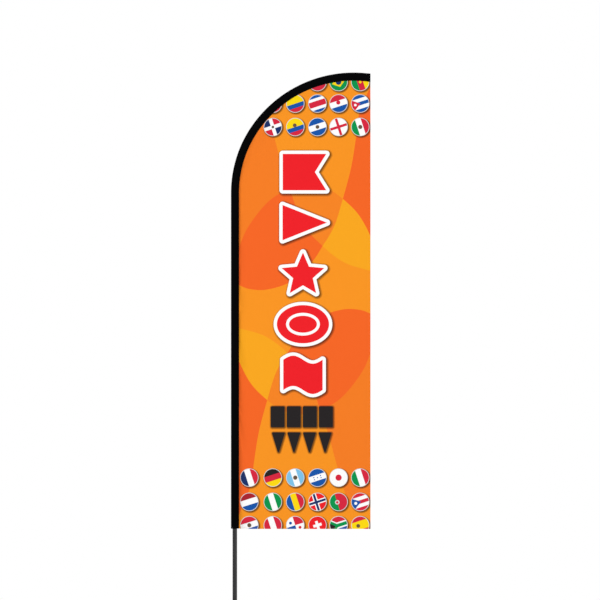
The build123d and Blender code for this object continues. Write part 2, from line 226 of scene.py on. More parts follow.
def thread_waves(tree, pitch, across):
    """Height of one set of parallel threads at that pitch."""
    place = add_node(tree, "TexCoord").outputs["Object"]
    return add_node(tree, "TexWave", bands_direction=across, wave_profile="SIN", Vector=place,
                    Scale=pi / (10 * pitch), Distortion=0.6, Detail=1.0).outputs["Fac"]


SLUBS, SLUB_BUMP = (60, (1, 1, 9)), (0.12, 0.4 * MM)
CREASES, CREASE_BUMP = (3.2, (1, 1, 0.6), 2.0), (0.35, 6 * MM)
THREAD_STRENGTH = 0.25


def weave_group(name, pitch, depth, rough_low, rough_high):
    """Cloth surface shared by many colours: threads, small slubs and soft handling creases."""
    tree = bpy.data.node_groups.new(name, "ShaderNodeTree")
    tree.interface.new_socket("Normal", in_out="OUTPUT", socket_type="NodeSocketVector")
    tree.interface.new_socket("Roughness", in_out="OUTPUT", socket_type="NodeSocketFloat")
    out = tree.nodes.new("NodeGroupOutput")
    crossing = calculated(tree, "MULTIPLY", thread_waves(tree, pitch, "X"),
                          thread_waves(tree, pitch, "Z"))
    slubs = grain(tree, *SLUBS)
    soft = bump(tree, grain(tree, *CREASES), *CREASE_BUMP)
    uneven = bump(tree, slubs, *SLUB_BUMP, Normal=soft)
    threads = bump(tree, crossing, THREAD_STRENGTH, depth, Normal=uneven)
    tree.links.new(threads, out.inputs["Normal"])
    tree.links.new(spread(tree, slubs, rough_low, rough_high), out.inputs["Roughness"])
    return tree


def cloth_material(name, colour, weave, specular, sheen):
    """Cloth of one printed or dyed colour, with the shared weave."""
    material, tree, shader = new_material(name, colour, 0.8, specular=specular, sheen=sheen)
    group = tree.nodes.new("ShaderNodeGroup")
    group.node_tree = weave
    for name in ("Normal", "Roughness"):
        tree.links.new(group.outputs[name], shader.inputs[name])
    return material


# ======== artwork shapes
def ellipse(x, y, rx, ry=None, count=48):
    ry = rx if ry is None else ry
    return [(x + rx * cos(tau * i / count), y + ry * sin(tau * i / count)) for i in range(count)]


def box_points(left, low, right, high):
    return [(left, low), (right, low), (right, high), (left, high)]


def grown(points, reach):
    """An anticlockwise outline moved out by reach: round at its corners, sharp in its notches."""
    outline = []
    for before, here, after in zip(points[-1:] + points[:-1], points, points[1:] + points[:1]):
        first, last = [atan2(a[0] - b[0], b[1] - a[1]) for a, b in ((before, here), (here, after))]
        turn = (last - first + pi) % tau - pi
        steps = max(1, round(turn / radians(15))) if turn > 0.1 else 0
        out = reach if steps else reach / cos(turn / 2)
        for angle in [first + turn * (i / steps if steps else 0.5) for i in range(steps + 1)]:
            outline.append((here[0] + out * cos(angle), here[1] + out * sin(angle)))
    return outline


def clipped(points, rim):
    """The part of a convex shape that lies inside a convex anticlockwise rim."""
    for a, b in zip(rim, rim[1:] + rim[:1]):
        def side(p):
            return (b[0] - a[0]) * (p[1] - a[1]) - (b[1] - a[1]) * (p[0] - a[0])
        kept = []
        for p, q in zip(points, points[1:] + points[:1]):
            if side(p) >= 0:
                kept.append(p)
            if side(p) * side(q) < 0:
                share = side(p) / (side(p) - side(q))
                kept.append((p[0] + share * (q[0] - p[0]), p[1] + share * (q[1] - p[1])))
        points = kept
        if not points:
            return []
    return points


def smooth_spans(knots, steps=8):
    """A smooth curve through the knots, as one list of points for each span between them."""
    ends = [knots[0]] + knots + [knots[-1]]
    spans = []
    for a, b, c, d in zip(ends, ends[1:], ends[2:], ends[3:]):
        spans.append([tuple(0.5 * (2 * q + (r - p) * t + (2 * p - 5 * q + 4 * r - s) * t ** 2
                                   + (3 * q - p - 3 * r + s) * t ** 3)
                            for p, q, r, s in zip(a, b, c, d))
                      for t in [i / steps for i in range(steps + 1)]])
    return spans


def joined(*spans):
    """Spans one after another, each point once."""
    points = []
    for span in spans:
        points += [p for p in span if not points or p != points[-1]]
    return points


def anticlockwise(points):
    twice_area = sum(a[0] * b[1] - b[0] * a[1] for a, b in zip(points, points[1:] + points[:1]))
    return points if twice_area > 0 else points[::-1]


class Artwork:
    """Flat shapes in painting order: an ink covers what is below it, and a shade darkens it."""

    def __init__(self):
        self.points, self.faces, self.paint = [], [], []

    def add(self, points, ink=None, shade=0):
        if len(points) > 2:
            first = len(self.points)
            self.points += anticlockwise(points)
            self.faces.append(list(range(first, first + len(points))))
            self.paint.append((ink, shade))

    def shadow(self, points, shift, reaches):
        """A soft shadow down to the right: one ring for each reach, darker towards the inside."""
        moved = [(x + shift, y - shift) for x, y in points]
        for shade, reach in enumerate(reaches, 1):
            self.add(grown(moved, reach) if reach else moved, shade=shade)

    def look(self, covering):
        """Ink and shade where these shapes cover each other, or None off the panel."""
        if 0 not in covering:
            return None
        ink, shade = None, 0
        for face in sorted(covering):
            if self.paint[face][0]:
                ink, shade = self.paint[face]
            else:
                shade = max(shade, self.paint[face][1])
        return ink, shade


INKS = {
    "amber": (248, 148, 30), "tangerine": (244, 124, 32), "coral": (244, 101, 33),
    "gold": (248, 166, 26), "ember": (245, 131, 32),
    "red": (238, 28, 37), "white": (254, 254, 254), "ink_black": (35, 31, 32),
    "rim": (222, 224, 226), "crimson": (214, 36, 62), "brick": (170, 32, 46),
    "blue": (18, 84, 168), "navy": (24, 48, 104), "sky": (126, 194, 232),
    "green": (0, 148, 76), "yellow": (252, 218, 8), "brown": (104, 84, 66),
}
SHADE_LIGHT = (1.0, 0.86, 0.68, 0.5)  # light left in each ring of a shadow

# ---- ground: five curved fields, and the same five turned half round
FIELD_CENTRE = (359.3, 1248.6)
ARCH_CROSS, ARCH_FLY, LINE_CROSS = (277, 1850), (565, 1796), (455, 1540)
ARCH = [(-12, 1500), (48, 1641), (160, 1782), ARCH_CROSS, (397, 1873), (490, 1848), ARCH_FLY,
        (640, 1724), (690, 1646), (730, 1560)]
SWEEP = [(130, 2345), (190, 2137), (234, 1976), ARCH_CROSS, (318, 1730), (375, 1622), LINE_CROSS,
         (520, 1484), (600, 1438), (730, 1402)]
FALL = [(730, 2460), (707, 2391), (655, 2263), (636, 2125), (610, 1966), ARCH_FLY, (527, 1670),
        (492, 1598), LINE_CROSS, (400, 1456), (290, 1350), (160, 1304), (60, 1305), (-12, 1332)]


def ground_fields():
    """The curved fields of the upper half, each with its ink."""
    arch, sweep, fall = smooth_spans(ARCH), smooth_spans(SWEEP), smooth_spans(FALL)

    def back(spans):
        return joined(*[span[::-1] for span in spans[::-1]])
    arch_left, arch_mid, arch_right = arch[:3], arch[3:6], arch[6:]
    sweep_top, sweep_mid, sweep_right = sweep[:3], sweep[3:6], sweep[6:]
    fall_top, fall_mid, fall_left = fall[:5], fall[5:8], fall[8:]
    return [
        ("tangerine", joined([(-12, 2345)], *sweep_top, back(arch_left))),
        ("coral", joined(*fall_top, *arch_right)),
        ("coral", joined(*arch_left, *sweep_mid, *fall_left)),
        ("ember", joined(*arch_mid, *fall_mid, back(sweep_mid))),
        ("gold", joined(*arch_right, back(sweep_right), back(fall_mid))),
    ]


def half_turn(points):
    return [(2 * FIELD_CENTRE[0] - u, 2 * FIELD_CENTRE[1] - v) for u, v in points]


# ---- five large red figures with white borders, and two rows of dark marks
BORDER = 18
FIGURE_SHADOW, MARK_SHADOW, ROUNDEL_SHADOW = (11, 6, 1), (9, 5, 2), (7, 4, 1)  # reaches
FIGURE_SHIFT, MARK_SHIFT = 5, 3
RING = (348, 1114)  # centre of the ringed oval
MARK_COUNT, MARK_WIDTH = 4, 76
BLOCK_LEFT, BLOCK_PITCH, BLOCK_LOW, BLOCK_HIGH, BLOCK_CORNER = 172, 87.6, 553, 668, 7
ARROW_LEFT, ARROW_PITCH, ARROW_TIP, ARROW_TOP, ARROW_SIDE, ARROW_CORNER = 176, 84.6, 423, 521, 8, 5


def swallowtail(left, low, right, high, notch):
    return [(left, low), (right, low), (right - notch, (low + high) / 2), (right, high),
            (left, high)]


def star(x, y, reach, points=5, inner=0.46):
    spokes = [(pi / 2 + pi * i / points, reach * (inner if i % 2 else 1))
              for i in range(2 * points)]
    return [(x + r * cos(t), y + r * sin(t)) for t, r in spokes]


def waving(left, low, right, high, swing, count=16):
    """A banner whose top and bottom edges swing once up and down."""
    us = [left + (right - left) * i / count for i in range(count + 1)]
    swings = [swing * sin(tau * i / count) for i in range(count + 1)]
    return ([(u, low + s) for u, s in zip(us, swings)]
            + [(u, high + s) for u, s in zip(us[::-1], swings[::-1])])


def paint_figure(art, outline):
    border = grown(outline, BORDER)
    art.shadow(border, FIGURE_SHIFT, FIGURE_SHADOW)
    art.add(border, "white")
    art.add(outline, "red")


def paint_figures(art):
    paint_figure(art, swallowtail(238, 1843, 475, 2041, 62))
    paint_figure(art, [(237, 1571), (478, 1667), (237, 1763)])
    paint_figure(art, star(348, 1382, 122))
    paint_figure(art, ellipse(*RING, 142, 104, 72))
    art.add(ellipse(*RING, 92, 62, 60), "white")
    art.add(ellipse(*RING, 76, 46, 60), "red")
    paint_figure(art, waving(241, 756, 455, 921, 22))


def paint_marks(art):
    """Four upright blocks over four triangles that point down."""
    for i in range(MARK_COUNT):
        left, corner = BLOCK_LEFT + i * BLOCK_PITCH, BLOCK_CORNER
        block = box_points(left + corner, BLOCK_LOW + corner, left + MARK_WIDTH - corner,
                           BLOCK_HIGH - corner)
        left = ARROW_LEFT + i * ARROW_PITCH
        arrow = [(left + MARK_WIDTH / 2, ARROW_TIP), (left + MARK_WIDTH - ARROW_SIDE, ARROW_TOP),
                 (left + ARROW_SIDE, ARROW_TOP)]
        for mark in (grown(block, corner), grown(arrow, ARROW_CORNER)):
            art.shadow(mark, MARK_SHIFT, MARK_SHADOW)
            art.add(mark, "ink_black")


# ---- roundels: small discs with banded, crossed and quartered designs
ROUNDEL_RADIUS, ROUNDEL_RIM = 50, 3
ROUNDEL_TURN = radians(18)
ROUNDEL_US = (56, 184, 306, 427, 542, 660)
TOP_VS, FOOT_VS = (2434, 2316, 2188), (279, 147, 20)


def bands(inks, upright=False, shares=None):
    """Parallel bands from the top down, or from the hoist out, over a disc of radius one."""
    inks = inks.split()
    shares = shares or [1] * len(inks)
    edges = [1 - 2 * sum(shares[:i]) / sum(shares) for i in range(len(inks) + 1)]
    flat = [(ink, box_points(-1, low, 1, high)) for ink, high, low in zip(inks, edges, edges[1:])]
    if not upright:
        return flat
    return [(ink, [(-y, x) for x, y in points]) for ink, points in flat]


def cross(ink, half, x=0.0, reach=1.0):
    return [(ink, box_points(-reach, -half, reach, half)),
            (ink, box_points(x - half, -reach, x + half, reach))]


def dot(ink, x=0.0, y=0.0, radius=0.2):
    return [(ink, ellipse(x, y, radius, count=30))]


def quarters(inks):
    """Upper hoist, upper fly, lower hoist and lower fly."""
    corners = [(-1, 0), (0, 0), (-1, -1), (0, -1)]
    return [(ink, box_points(x, y, x + 1, y + 1)) for ink, (x, y) in zip(inks.split(), corners)]


def hoist(ink, reach):
    return [(ink, [(-1, -0.75), (reach, 0), (-1, 0.75)])]


def fork(ink, half):
    """A band from the fly that forks towards the hoist."""
    bend = -0.15
    return [(ink, box_points(bend, -half, 1, half))] + [
        (ink, [(bend - 1, tip - half), (bend, -half), (bend, half), (bend - 1, tip + half)])
        for tip in (0.9, -0.9)]


def top_designs():
    """Designs by row from the crown down; the first discs of each row are under the sleeve."""
    hidden = None
    return [
        [hidden, hidden, hidden, bands("crimson"),
         bands("green") + [("yellow", [(-0.8, 0), (0, -0.6), (0.8, 0), (0, 0.6)])]
         + dot("navy", radius=0.33),
         bands("green crimson yellow", True) + dot("yellow", radius=0.16)],
        [hidden, bands("white crimson"),
         bands("yellow blue crimson", shares=[2, 1, 1]),
         bands("blue white crimson white blue", shares=[1, 1, 2, 1, 1]),
         bands("crimson white blue") + dot("crimson", 0, 0.12, 0.24),
         bands("blue white blue white blue") + hoist("crimson", 0)
         + dot("white", -0.6, 0, 0.15)],
        [hidden, quarters("navy crimson crimson navy") + cross("white", 0.2)
         + dot("brown", radius=0.15),
         bands("yellow blue crimson", shares=[2, 1, 1]) + dot("brown", 0, 0.2, 0.22),
         bands("blue white blue") + dot("brown", radius=0.22),
         bands("white") + cross("crimson", 0.15),
         bands("green white crimson", True) + dot("brown", radius=0.24)]]


def foot_designs():
    """Designs by row, down to the row that the bottom hem cuts."""
    stars = [dot("blue", x, y, 0.07) for x, y in ((0, 0), (-0.4, 0.13), (-0.4, -0.13),
                                                  (0.4, 0.13), (0.4, -0.13))]
    return [
        [bands("navy white crimson", True), bands("ink_black crimson yellow"),
         bands("sky white sky", True) + dot("brown", radius=0.25),
         bands("blue white blue") + sum(stars, []),
         bands("white") + dot("crimson", radius=0.36),
         bands("green white crimson", True)],
        [bands("brick white blue"), bands("green white green", True),
         bands("blue yellow crimson", True),
         bands("red") + cross("white", 0.25, -0.15) + cross("navy", 0.13, -0.15),
         bands("green crimson", True, [0.42, 0.58]) + dot("rim", -0.16, 0, 0.26)
         + dot("crimson", -0.16, 0, 0.15),
         bands("crimson white crimson white crimson") + hoist("blue", 0.1)
         + dot("white", -0.55, 0, 0.17)],
        [bands("crimson white blue") + dot("brown", radius=0.24),
         bands("crimson white crimson", True),
         quarters("white crimson blue white") + dot("blue", -0.45, 0.4, 0.17)
         + dot("crimson", 0.45, -0.4, 0.17),
         bands("red") + cross("white", 0.16, reach=0.5),
         bands("crimson blue") + fork("white", 0.36) + hoist("yellow", -0.2)
         + [("ink_black", [(-1, -0.6), (-0.36, 0), (-1, 0.6)])] + fork("green", 0.2),
         bands("crimson yellow crimson", shares=[1, 2, 1]) + dot("brown", -0.25, 0, 0.22)]]


def paint_roundel(art, u, v, design):
    disc = ellipse(u, v, ROUNDEL_RADIUS)
    art.shadow(disc, FIGURE_SHIFT, ROUNDEL_SHADOW)
    art.add(disc, "rim")
    size, c, s = ROUNDEL_RADIUS - ROUNDEL_RIM, cos(ROUNDEL_TURN), sin(ROUNDEL_TURN)
    face = ellipse(u, v, size)
    for ink, points in design:
        placed = [(u + size * (x * c - y * s), v + size * (x * s + y * c)) for x, y in points]
        art.add(clipped(placed, face), ink)


def paint_roundels(art):
    for vs, designs in ((TOP_VS, top_designs()), (FOOT_VS, foot_designs())):
        for v, row in zip(vs, designs):
            for u, design in zip(ROUNDEL_US, row):
                if design:
                    paint_roundel(art, u, v, design)


def panel_outline():
    """The panel's outline in artwork millimetres, with its tuck into the sleeve's seam."""
    inset = SLEEVE_WIDTH - PANEL_TUCK
    curve = [sleeve_point(s, inset) for s in stations(CURVE_STEP) if s[0] or s[1] == 1]
    corners = [(SEAM_X - PANEL_TUCK, BOTTOM_Z), (FLY_X, BOTTOM_Z)]
    return [((x - SEAM_X) / MM, (z - BOTTOM_Z) / MM) for x, z in corners + curve[::-1]]


def make_artwork():
    art = Artwork()
    art.add(panel_outline(), "amber")
    for ink, points in ground_fields():
        art.add(points, ink)
        art.add(half_turn(points), ink)
    paint_figures(art)
    paint_marks(art)
    paint_roundels(art)
    return art


# ======== panel: how the cloth hangs
SIM_COLUMNS, SIM_ROWS = 40, 100
SIM_BUNCHING = 1.3  # power that brings the columns closer together near the seam
SIM_FRAMES = 45
SIM_GROWTH = -0.007  # the cut is this much larger than the pinned outline, so it ripples
SIM_BREEZE = 1.6  # steady push across the cloth, as part of gravity
DRAPE_LIMIT = 20 * MM


def frame_wave(x, z):
    """How far the frame's panel stands forward or back at a point; arrays."""
    growth = np.clip((x - SEAM_X) / WAVE_GROWTH, 0, 1)
    growth = growth * growth * (3 - 2 * growth)
    share = np.clip((CROWN_Z - z) / (CROWN_Z - BOTTOM_Z), 0, 1)
    return WAVE_HEIGHT * growth * share * np.sin(tau * (x - SEAM_X) / WAVE_LENGTH)


def hang_grid():
    """Columns from the seam to the fly edge, and the cloth's x and z on each row of each column."""
    columns = SEAM_X + (FLY_X - SEAM_X) * (np.arange(SIM_COLUMNS + 1)
                                          / SIM_COLUMNS) ** SIM_BUNCHING
    shares = np.arange(SIM_ROWS + 1) / SIM_ROWS
    x = np.repeat(columns[:, None], SIM_ROWS + 1, axis=1)
    z = BOTTOM_Z + shares[None, :] * (panel_top(x) - BOTTOM_Z)
    return columns, x, z


def simulated(x, y, z):
    """The cloth's y after it has hung from its seam and crown, by Blender's cloth simulation."""
    rows = SIM_ROWS + 1
    points = np.stack([x, y, z], axis=-1).reshape(-1, 3)
    faces = [(i * rows + j, (i + 1) * rows + j, (i + 1) * rows + j + 1, i * rows + j + 1)
             for i in range(SIM_COLUMNS) for j in range(SIM_ROWS)]
    cloth_object = new_object("hanging_cloth", points, faces, [])
    held = [i * rows + j for i in range(SIM_COLUMNS + 1) for j in range(rows)
            if i == 0 or j == SIM_ROWS]
    cloth_object.vertex_groups.new(name="held").add(held, 1.0, "REPLACE")
    cloth = cloth_object.modifiers.new("Cloth", "CLOTH")
    settings = cloth.settings
    settings.quality = 6
    settings.mass = 0.12
    settings.air_damping = 3.0
    settings.bending_stiffness = 1.2
    settings.shrink_min = SIM_GROWTH
    settings.vertex_group_mass = "held"
    cloth.point_cache.frame_start, cloth.point_cache.frame_end = 1, SIM_FRAMES
    scene = bpy.context.scene
    steady = tuple(scene.gravity)
    scene.gravity = (0, -SIM_BREEZE, steady[2])
    for number in range(1, SIM_FRAMES + 1):
        scene.frame_set(number)
    settled = cloth_object.evaluated_get(bpy.context.evaluated_depsgraph_get()).to_mesh()
    places = np.empty(len(settled.vertices) * 3, np.float32)
    settled.vertices.foreach_get("co", places)
    scene.gravity = steady
    scene.frame_set(1)
    bpy.data.objects.remove(cloth_object)
    return places.reshape(x.shape + (3,))[..., 1].astype(float)


def hung_cloth():
    """Columns, and the cloth's y on the grid: the frame's waves, then simulated."""
    columns, x, z = hang_grid()
    y = frame_wave(x, z)
    y = simulated(x, y, z)
    y = DRAPE_LIMIT * np.tanh(y / DRAPE_LIMIT)
    return columns, y


def catmull_weights(share):
    return (0.5 * (-share + 2 * share ** 2 - share ** 3),
            0.5 * (2 - 5 * share ** 2 + 3 * share ** 3),
            0.5 * (share + 4 * share ** 2 - 3 * share ** 3),
            0.5 * (share ** 3 - share ** 2))


def cloth_y(x, z, columns, grid):
    """The hung cloth's y at any points, by smooth interpolation on the grid; arrays."""
    top = panel_top(x)
    across = np.interp(x, columns, np.arange(len(columns)))
    upward = np.clip((z - BOTTOM_Z) / (top - BOTTOM_Z), 0, 1) * SIM_ROWS
    i, j = (np.minimum(np.floor(place).astype(int), last - 1)
            for place, last in ((across, SIM_COLUMNS), (upward, SIM_ROWS)))
    y = np.zeros_like(x)
    for a, wide in enumerate(catmull_weights(across - i)):
        for b, tall in enumerate(catmull_weights(upward - j)):
            y += wide * tall * grid[np.clip(i + a - 1, 0, SIM_COLUMNS),
                                    np.clip(j + b - 1, 0, SIM_ROWS)]
    return y


def half_wall(x, z):
    """Half the cloth's thickness: more where the fly and bottom edges are hemmed."""
    edge = np.minimum(FLY_X - x, z - BOTTOM_Z)
    hem = np.clip((HEM_WIDTH + HEM_STEP - edge) / HEM_STEP, 0, 1)
    return (PANEL_WALL + (HEM_WALL - PANEL_WALL) * hem) / 2


class Panel:
    """The hung panel: places and normals on its two faces."""

    def __init__(self):
        self.columns, self.grid = hung_cloth()

    def face_y(self, x, z, side):
        """The y of the front face, side -1, or of the back, side 1."""
        return cloth_y(x, z, self.columns, self.grid) + side * half_wall(x, z)

    def normals(self, x, z, side):
        step = 0.5 * MM
        dx = (self.face_y(x + step, z, side) - self.face_y(x - step, z, side)) / (2 * step)
        dz = (self.face_y(x, z + step, side) - self.face_y(x, z - step, side)) / (2 * step)
        normals = np.stack([-side * dx, np.full_like(x, side), -side * dz], axis=-1)
        return normals / np.linalg.norm(normals, axis=-1, keepdims=True)


# ======== panel: mesh
GRID_U, GRID_V = 12.0, 20.0  # millimetres between the points that carry the waves
SEAM_LINES = (0, 3 * MM)  # lines of points beside the seam, where the cloth leaves the sleeve


def triangulated(art):
    """Points and triangles that follow every edge of the artwork, each with its ink and shade."""
    us, vs = zip(*art.points[:len(art.faces[0])])
    points = [Vector(p) for p in art.points]
    points += [Vector((i * GRID_U, j * GRID_V)) for i in range(1, int(max(us) / GRID_U))
               for j in range(1, int(max(vs) / GRID_V))]
    edges = []
    for inset in (HEM_WIDTH / MM, (HEM_WIDTH + HEM_STEP) / MM):
        for a, b in (((min(us), inset), (max(us), inset)),
                     ((max(us) - inset, 0), (max(us) - inset, max(vs)))):
            edges.append((len(points), len(points) + 1))
            points += [Vector(a), Vector(b)]
    for past_seam in SEAM_LINES:
        line = [sleeve_point(s, SLEEVE_WIDTH + past_seam) for s in stations(CURVE_STEP)]
        first = len(points)
        points += [Vector(((x - SEAM_X) / MM, (z - BOTTOM_Z) / MM)) for x, z in line]
        edges += [(i, i + 1) for i in range(first, len(points) - 1)]
    made, _, faces, _, _, covering = delaunay_2d_cdt(points, edges, art.faces, 1, 1e-4)
    looks = [art.look(c) for c in covering]
    return made, [(f, look) for f, look in zip(faces, looks) if look]


def ink_materials(looks, weave):
    """A cloth material for each ink and shade in use."""
    made = []
    for ink, shade in looks:
        rgb = [c * SHADE_LIGHT[shade] for c in INKS[ink]]
        made.append(cloth_material(f"print_{ink}_{shade}", linear(rgb), weave, specular=0.12,
                                   sheen=0.02))
    return made


def make_panel(panel):
    """Front, back and rim of the printed panel, as one closed mesh."""
    made, kept = triangulated(make_artwork())
    used = sorted({v for face, _ in kept for v in face})
    number = {v: i for i, v in enumerate(used)}
    flat = np.array([made[v] for v in used])
    x, z = SEAM_X + flat[:, 0] * MM, BOTTOM_Z + flat[:, 1] * MM
    fronts = [[number[v] for v in face] for face, _ in kept]
    count = len(used)
    sides = {(a, b) for face in fronts for a, b in zip(face, face[1:] + face[:1])}
    rim = sorted((a, b) for a, b in sides if (b, a) not in sides)
    looks = sorted({look for _, look in kept})
    picks = [looks.index(look) for _, look in kept]
    owner = {edge: pick for face, pick in zip(fronts, picks)
             for edge in zip(face, face[1:] + face[:1])}
    faces = (fronts + [[v + count for v in face[::-1]] for face in fronts]
             + [[b, a, a + count, b + count] for a, b in rim])
    points = np.concatenate([np.stack([x, panel.face_y(x, z, side), z], axis=-1)
                             for side in (-1, 1)])
    weave = weave_group("knit", pitch=1.1 * MM, depth=0.15 * MM, rough_low=0.68,
                        rough_high=0.86)
    thing = new_object("printed_panel", points, faces, ink_materials(looks, weave),
                       picks * 2 + [owner[edge] for edge in rim])
    normals = np.concatenate([panel.normals(x, z, side) for side in (-1, 1)])
    loops = [tuple(normals[v]) for face in faces[:2 * len(fronts)] for v in face]
    loops += [tuple(p.normal) for p in thing.data.polygons[2 * len(fronts):] for _ in range(4)]
    thing.data.normals_split_custom_set(loops)
    area = sum(abs((flat[b] - flat[a])[0] * (flat[c] - flat[a])[1]
                   - (flat[c] - flat[a])[0] * (flat[b] - flat[a])[1]) / 2
               for a, b, c in fronts) * MM ** 2
    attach(thing, "flag_top")
    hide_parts("flag_panel")
    return thing, float(area)


# ======== sleeve
NOSE_POWER, SEAM_POWER = 0.6, 0.72  # how full the section is at its outer edge and seam
SECTION_POINTS = 18
CLOSED_LENGTH = 17 * MM  # the sleeve's end, pinched flat past the rod's cap
CLOSED_HALF_DEPTH = 1.5 * MM
BASE_PLAY, ROD_PLAY = 2.5 * MM, 3.2 * MM  # between the sleeve and what it goes round
BASE_FERRULE_PLAY, MID_FERRULE_PLAY = 1.2 * MM, 1.6 * MM
PUCKER_HEIGHT = 0.22 * MM
PUCKERS = ((0.021, 1, 0), (0.0127, 0.7, 1.3), (0.061, 0.5, 0.4))  # length, height and shift
PUCKER_FADE = 3 * MM  # the puckers die out where the sleeve is flatter than this
SIDE_SHIFT = 0.2  # metres, so that front and back don't pucker alike
SLEEVE_STEP = 13 * MM


def node_radius(node):
    low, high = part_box(node)
    return (high.y - low.y) / 2


# heights, and half the sleeve's depth at each, from what it goes round
DEPTH_LEVELS = [(BOTTOM_Z, node_radius("base_section") + BASE_PLAY),
                (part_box("base_ferrule")[1].z, node_radius("base_ferrule") + BASE_FERRULE_PLAY),
                (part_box("tip_adapter")[1].z, node_radius("mid_ferrule") + MID_FERRULE_PLAY),
                (BEND_Z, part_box("tip_rod")[1].y + ROD_PLAY)]


def ripple(place, share):
    """Uneven puckers along the sleeve, only outwards, and none at its sewn edge."""
    run = place[1] * 3 + place[0]
    waves = sum(height * (1 + sin(run / length + shift)) for length, height, shift in PUCKERS)
    return PUCKER_HEIGHT * waves * max(0.0, 1 - share) ** 0.5 * (0.4 + 0.6 * share)


def half_depth(station, share, side):
    """Half the sleeve's depth at a station, at a share of its width from the outer edge."""
    x, z = sleeve_point(station, SLEEVE_WIDTH / 2)
    heights, depths = zip(*DEPTH_LEVELS)
    middle = float(np.interp(z, heights, depths)) if station[0] == 0 else depths[-1]
    pinch = min(1.0, max(0.0, (x - (FLY_X - CLOSED_LENGTH)) / CLOSED_LENGTH))
    middle += (CLOSED_HALF_DEPTH - middle) * pinch * pinch * (3 - 2 * pinch)
    across = min(1.0, share / (1 - SEAM_FLAT / SLEEVE_WIDTH)) * 2 - 1
    depth = middle * max(0.0, cos(pi / 2 * across)) ** (NOSE_POWER if across < 0 else SEAM_POWER)
    depth += (ripple((x, side * SIDE_SHIFT + z), share) * (1 - pinch)
              * min(1.0, depth / PUCKER_FADE))
    return max(depth, SEAM_HALF_DEPTH * min(1.0, share * 12))


def section(station, shrink):
    """Points round the sleeve at a station, moved inwards by shrink: front, then back."""
    shares = [(1 - cos(pi * i / SECTION_POINTS)) / 2 for i in range(SECTION_POINTS + 1)]
    loop = []
    for side, order in ((-1, shares), (1, shares[:0:-1])):
        for share in order:
            inset = shrink + share * (SLEEVE_WIDTH - 2 * shrink)
            x, z = sleeve_point(station, inset)
            depth = half_depth(station, share, side) - shrink * min(1.0, share * 40)
            loop.append((x, side * max(depth, 0.0), z))
    return loop


def tube(name, places, outer, inner, material, closed_end=False):
    """A closed shell between two skins along the sleeve, which are shrinks of its section."""
    back = (outer - inner) / UPPER_LENGTH if closed_end else 0
    skins = [[section(place, outer) for place in places],
             [section((span, share + back), inner) for span, share in places]]
    size, count = len(skins[0][0]), len(places)
    points = [p for skin in skins for loop in skin for p in loop]

    def at(skin, row, i):
        return (skin * count + row) * size + i % size
    faces, last = [], count - 1

    def add_face(*corners):
        faces.append([at(*corner) for corner in corners])
    for i, j in zip(range(size), range(1, size + 1)):
        for row, up in zip(range(last), range(1, count)):
            add_face((0, row, i), (0, row, j), (0, up, j), (0, up, i))
            add_face((1, row, i), (1, up, i), (1, up, j), (1, row, j))
        add_face((0, 0, j), (0, 0, i), (1, 0, i), (1, 0, j))
        if not closed_end:
            add_face((0, last, i), (0, last, j), (1, last, j), (1, last, i))
    if closed_end:
        add_face(*[(0, last, i) for i in range(size)])
        add_face(*[(1, last, i) for i in reversed(range(size))])
    thing = new_object(name, points, faces, [material])
    thing.data.set_sharp_from_angle(angle=radians(50))
    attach(thing, "flag_top")
    return thing


MOUTH_HEM_HEIGHT = 14 * MM
HEM_GAP = 0.06 * MM
PATCH_LENGTH = 15 * MM
PATCH_WALL = 0.6 * MM
SLEEVE_BLACK, THREAD_BLACK, THREAD_ORANGE = (4, 4, 5), (30, 30, 32), (236, 132, 30)


def sleeve_pieces():
    """The sleeve, the hem turned in at its mouth, and the patch over its closed end."""
    weave = weave_group("plain_weave", pitch=0.9 * MM, depth=0.12 * MM, rough_low=0.72,
                        rough_high=0.9)
    black = cloth_material("sleeve_black", linear(SLEEVE_BLACK), weave, specular=0.03, sheen=0.0)
    sleeve = tube("sleeve", stations(SLEEVE_STEP), 0, SLEEVE_WALL, black)
    hem_places = [(0, MOUTH_HEM_HEIGHT * i / 5 / STRAIGHT_LENGTH) for i in range(6)]
    hem = tube("sleeve_mouth_hem", hem_places, SLEEVE_WALL + HEM_GAP,
               2 * SLEEVE_WALL + HEM_GAP, black)
    patch_places = [(2, 1 + (PATCH_WALL + HEM_GAP - PATCH_LENGTH * (1 - i / 5)) / UPPER_LENGTH)
                    for i in range(6)]
    patch = tube("sleeve_end_patch", patch_places, -HEM_GAP - PATCH_WALL, -HEM_GAP, black,
                 closed_end=True)
    for piece, node in ((sleeve, "pole_sleeve"), (hem, "mouth_hem"), (patch, "end_patch")):
        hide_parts(node)
    return sleeve, hem, patch


def sleeve_cut():
    """Width and length of the strip that the sleeve is folded from."""
    loop = section((0, 0.5), 0)
    width = sum(hypot(a[0] - b[0], a[1] - b[1]) for a, b in zip(loop, loop[1:] + loop[:1]))
    middle = [sleeve_point(s, SLEEVE_WIDTH / 2) for s in stations(20 * MM)]
    return width, sum(hypot(a[0] - b[0], a[1] - b[1]) for a, b in zip(middle, middle[1:]))


# ======== stitching
ROW_STEP = 8 * MM  # between the points that a row of stitches follows
ROW_INSET = 2.5 * MM  # from a hem's inner edge, or the sleeve's end, to its row
SEAM_ROWS = (1.7 * MM, 4.7 * MM)


